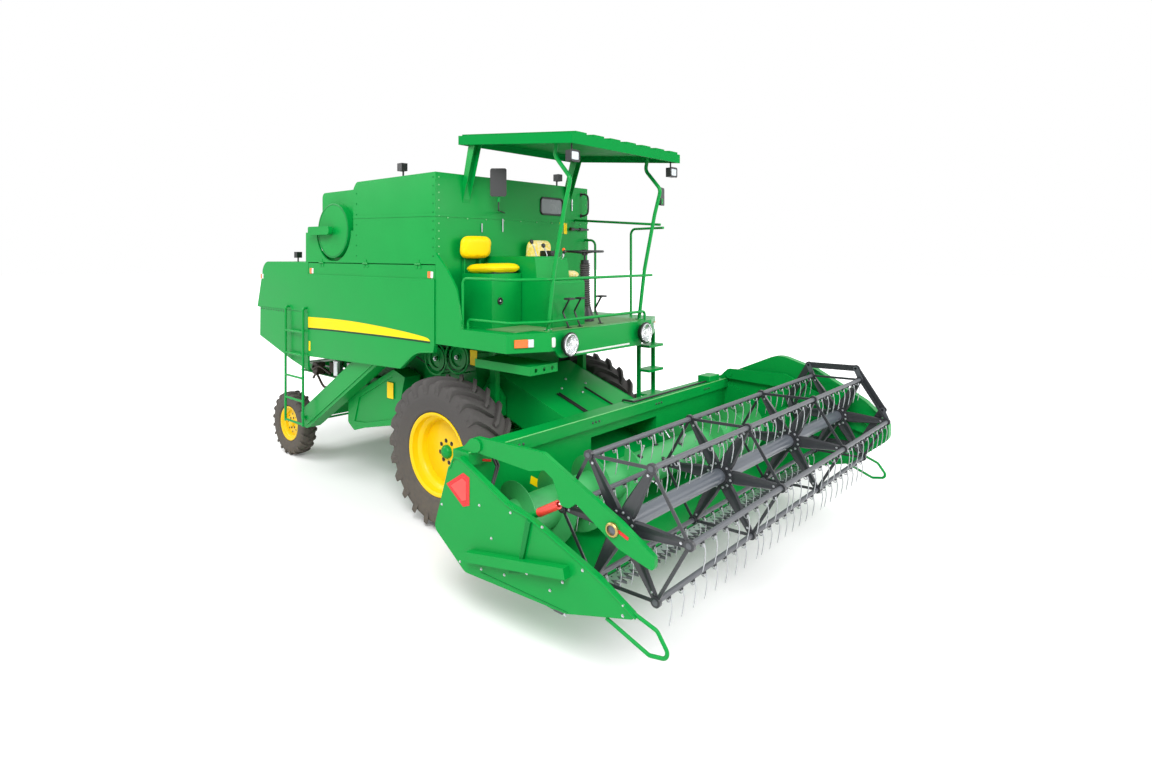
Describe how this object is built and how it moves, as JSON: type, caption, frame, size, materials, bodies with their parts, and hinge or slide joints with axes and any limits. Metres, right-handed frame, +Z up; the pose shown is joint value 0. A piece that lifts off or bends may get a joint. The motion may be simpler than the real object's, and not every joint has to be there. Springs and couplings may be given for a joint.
{
  "type": "combine harvester",
  "caption": "Self-propelled grain harvester: open platform under a sun roof, grain tank, rear straw hood, feeder channel and a wide header with a tined reel.",
  "frame": {"origin": "on the ground under the middle of the whole machine", "axes": "+X forwards to the header, +Y to the machine's left, +Z up"},
  "size_m": [6.8002, 4.52, 3.9198],
  "materials": {
    "green_paint": "gloss enamel",
    "yellow_paint": "gloss enamel",
    "black_paint": "satin black",
    "grey_steel": "rolled steel",
    "chrome": "hard chrome",
    "tyre": "matte rubber",
    "yellow_vinyl": "soft vinyl",
    "window_glass": "dull clear pane",
    "black_rubber": "rubber"
  },
  "bodies": {
    "machine": {"canopy": "green_paint", "chassis_frame": "green_paint", "drive_belts": "black_rubber", "driver_seat": "yellow_vinyl", "elevator_left": "green_paint", "elevator_right": "green_paint", "engine_block": "black_paint", "engine_cover": "green_paint", "grain_tank": "green_paint", "ladders": "green_paint", "mirrors": "black_paint", "operator_deck": "green_paint", "passenger_seat": "yellow_vinyl", "platform_tubework": "green_paint", "radiator_housing": "green_paint", "rear_axle": "green_paint", "rear_hood": "green_paint", "screen_plate": "green_paint", "seat_boxes": "green_paint", "steering_column": "black_paint", "straw_hood": "green_paint", "tank_window": "window_glass", "threshing_body": "green_paint", "work_lamps": "black_paint"},
    "knuckle_left": {"knuckle_left": "green_paint"},
    "knuckle_right": {"knuckle_right": "green_paint"},
    "tie_rod": {"tie_rod": "green_paint"},
    "front_wheel_left": {"front_tyre_left": "tyre", "front_rim_left": "yellow_paint"},
    "front_wheel_right": {"front_tyre_right": "tyre", "front_rim_right": "yellow_paint"},
    "rear_wheel_left": {"rear_tyre_left": "tyre", "rear_rim_left": "yellow_paint"},
    "rear_wheel_right": {"rear_tyre_right": "tyre", "rear_rim_right": "yellow_paint"},
    "side_door_left": {"side_door_left": "green_paint"},
    "side_door_right": {"side_door_right": "green_paint"},
    "rotary_screen": {"rotary_screen": "green_paint"},
    "steering_wheel": {"steering_wheel": "black_paint"},
    "header": {"feeder_house": "green_paint", "header_frame": "green_paint", "header_end_right": "green_paint", "header_end_left": "green_paint", "cutterbar": "grey_steel", "header_hoses": "black_rubber"},
    "header_auger": {"header_auger": "green_paint"},
    "reel_arms": {"reel_arms": "green_paint"},
    "reel_core": {"reel_core": "black_paint"},
    "reel_ring": {"reel_ring": "black_paint"},
    "lift_barrels": {"lift_barrels": "green_paint"},
    "lift_rods": {"lift_rods": "chrome"},
    "reel_barrels": {"reel_barrels": "green_paint"},
    "reel_rods": {"reel_rods": "chrome"},
    "unloading_auger": {"unloading_auger": "green_paint"},
    "reel_bat_1": {"reel_bat_1": "grey_steel"},
    "reel_bat_2": {"reel_bat_2": "grey_steel"},
    "reel_bat_3": {"reel_bat_3": "grey_steel"},
    "reel_bat_4": {"reel_bat_4": "grey_steel"},
    "reel_bat_5": {"reel_bat_5": "grey_steel"},
    "reel_bat_6": {"reel_bat_6": "grey_steel"}
  },
  "joints": [
    {"name": "front_wheel_left_spin", "type": "hinge", "parent": "machine", "child": "front_wheel_left", "pos_m": [0.34614, 1.095, 0.745], "axis": [0, 1, 0], "continuous": true},
    {"name": "steer_left", "type": "hinge", "parent": "machine", "child": "knuckle_left", "pos_m": [-2.89386, 0.74, 0.42], "axis": [0, 0, 1], "range_deg": [-35, 35]},
    {"name": "rear_wheel_left_spin", "type": "hinge", "parent": "knuckle_left", "child": "rear_wheel_left", "pos_m": [-2.89386, 0.975, 0.42], "axis": [0, 1, 0], "continuous": true},
    {"name": "front_wheel_right_spin", "type": "hinge", "parent": "machine", "child": "front_wheel_right", "pos_m": [0.34614, -1.095, 0.745], "axis": [0, 1, 0], "continuous": true},
    {"name": "steer_right", "type": "hinge", "parent": "machine", "child": "knuckle_right", "pos_m": [-2.89386, -0.74, 0.42], "axis": [0, 0, 1], "range_deg": [-35, 35]},
    {"name": "rear_wheel_right_spin", "type": "hinge", "parent": "knuckle_right", "child": "rear_wheel_right", "pos_m": [-2.89386, -0.975, 0.42], "axis": [0, 1, 0], "continuous": true},
    {"name": "tie_rod_pivot", "type": "hinge", "parent": "knuckle_left", "child": "tie_rod", "pos_m": [-3.06386, 0.74, 0.35], "axis": [0, 0, 1], "range_deg": [-35, 35]},
    {"name": "steering_wheel_turn", "type": "hinge", "parent": "machine", "child": "steering_wheel", "pos_m": [1.01614, 0.222, 2.727], "axis": [0, 0, 1], "continuous": true},
    {"name": "side_door_left_open", "type": "hinge", "parent": "machine", "child": "side_door_left", "pos_m": [-2.05886, 1.27, 2.597], "axis": [1, 0, 0], "range_deg": [0, 75]},
    {"name": "side_door_right_open", "type": "hinge", "parent": "machine", "child": "side_door_right", "pos_m": [-2.05886, -1.27, 2.597], "axis": [-1, 0, 0], "range_deg": [0, 75]},
    {"name": "rotary_screen_spin", "type": "hinge", "parent": "machine", "child": "rotary_screen", "pos_m": [-1.49186, -1.222, 2.976], "axis": [0, 1, 0], "continuous": true},
    {"name": "unloading_auger_swing", "type": "hinge", "parent": "machine", "child": "unloading_auger", "pos_m": [-0.01386, 1.4, 3.12], "axis": [0, 0, -1], "range_deg": [0, 95]},
    {"name": "feeder_lift", "type": "hinge", "parent": "machine", "child": "header", "pos_m": [0.52614, 0, 1.29], "axis": [0, -1, 0], "range_deg": [-8, 22]},
    {"name": "reel_lift", "type": "hinge", "parent": "header", "child": "reel_arms", "pos_m": [1.74614, 0, 1.29], "axis": [0, -1, 0], "range_deg": [-1.5, 20]},
    {"name": "header_auger_spin", "type": "hinge", "parent": "header", "child": "header_auger", "pos_m": [1.96614, 0, 0.75], "axis": [0, 1, 0], "continuous": true},
    {"name": "reel_spin", "type": "hinge", "parent": "reel_arms", "child": "reel_core", "pos_m": [2.91314, 0, 1.02], "axis": [0, 1, 0], "continuous": true},
    {"name": "reel_ring_spin", "type": "hinge", "parent": "reel_arms", "child": "reel_ring", "pos_m": [2.86814, 0, 1.125], "axis": [0, 1, 0], "continuous": true},
    {"name": "reel_bat_1_level", "type": "hinge", "parent": "reel_core", "child": "reel_bat_1", "pos_m": [3.36686, 0, 1.03584], "axis": [0, 1, 0], "continuous": true},
    {"name": "reel_bat_2_level", "type": "hinge", "parent": "reel_core", "child": "reel_bat_2", "pos_m": [3.12628, 0, 1.42086], "axis": [0, 1, 0], "continuous": true},
    {"name": "reel_bat_3_level", "type": "hinge", "parent": "reel_core", "child": "reel_bat_3", "pos_m": [2.67256, 0, 1.40501], "axis": [0, 1, 0], "continuous": true},
    {"name": "reel_bat_4_level", "type": "hinge", "parent": "reel_core", "child": "reel_bat_4", "pos_m": [2.45941, 0, 1.00416], "axis": [0, 1, 0], "continuous": true},
    {"name": "reel_bat_5_level", "type": "hinge", "parent": "reel_core", "child": "reel_bat_5", "pos_m": [2.7, 0, 0.61914], "axis": [0, 1, 0], "continuous": true},
    {"name": "reel_bat_6_level", "type": "hinge", "parent": "reel_core", "child": "reel_bat_6", "pos_m": [3.15372, 0, 0.63499], "axis": [0, 1, 0], "continuous": true},
    {"name": "lift_barrel_tilt", "type": "hinge", "parent": "machine", "child": "lift_barrels", "pos_m": [0.49614, 0, 0.7], "axis": [0, -1, 0], "range_deg": [-7.02, 17.56]},
    {"name": "lift_rod_slide", "type": "slide", "parent": "lift_barrels", "child": "lift_rods", "axis": [0.9806, 0, 0.1961], "range_m": [-0.083, 0.2211]},
    {"name": "reel_barrel_tilt", "type": "hinge", "parent": "header", "child": "reel_barrels", "pos_m": [2.04614, 0, 0.787], "axis": [0, -1, 0], "range_deg": [-2.32, 18.62]},
    {"name": "reel_rod_slide", "type": "slide", "parent": "reel_barrels", "child": "reel_rods", "axis": [0.8552, 0, 0.5183], "range_m": [-0.0193, 0.2074]}
  ],
  "couplings": [
    {"joint": "steer_right", "follows": "steer_left", "ratio": 1},
    {"joint": "tie_rod_pivot", "follows": "steer_left", "ratio": -1},
    {"joint": "reel_ring_spin", "follows": "reel_spin", "ratio": 1},
    {"joint": "reel_bat_1_level", "follows": "reel_spin", "ratio": -1},
    {"joint": "reel_bat_2_level", "follows": "reel_spin", "ratio": -1},
    {"joint": "reel_bat_3_level", "follows": "reel_spin", "ratio": -1},
    {"joint": "reel_bat_4_level", "follows": "reel_spin", "ratio": -1},
    {"joint": "reel_bat_5_level", "follows": "reel_spin", "ratio": -1},
    {"joint": "reel_bat_6_level", "follows": "reel_spin", "ratio": -1},
    {"joint": "lift_barrel_tilt", "follows": "feeder_lift", "ratio": 0.7526},
    {"joint": "lift_rod_slide", "follows": "feeder_lift", "m_per_rad": 0.5655},
    {"joint": "reel_barrel_tilt", "follows": "reel_lift", "ratio": 0.881},
    {"joint": "reel_rod_slide", "follows": "reel_lift", "m_per_rad": 0.58261}
  ]
}
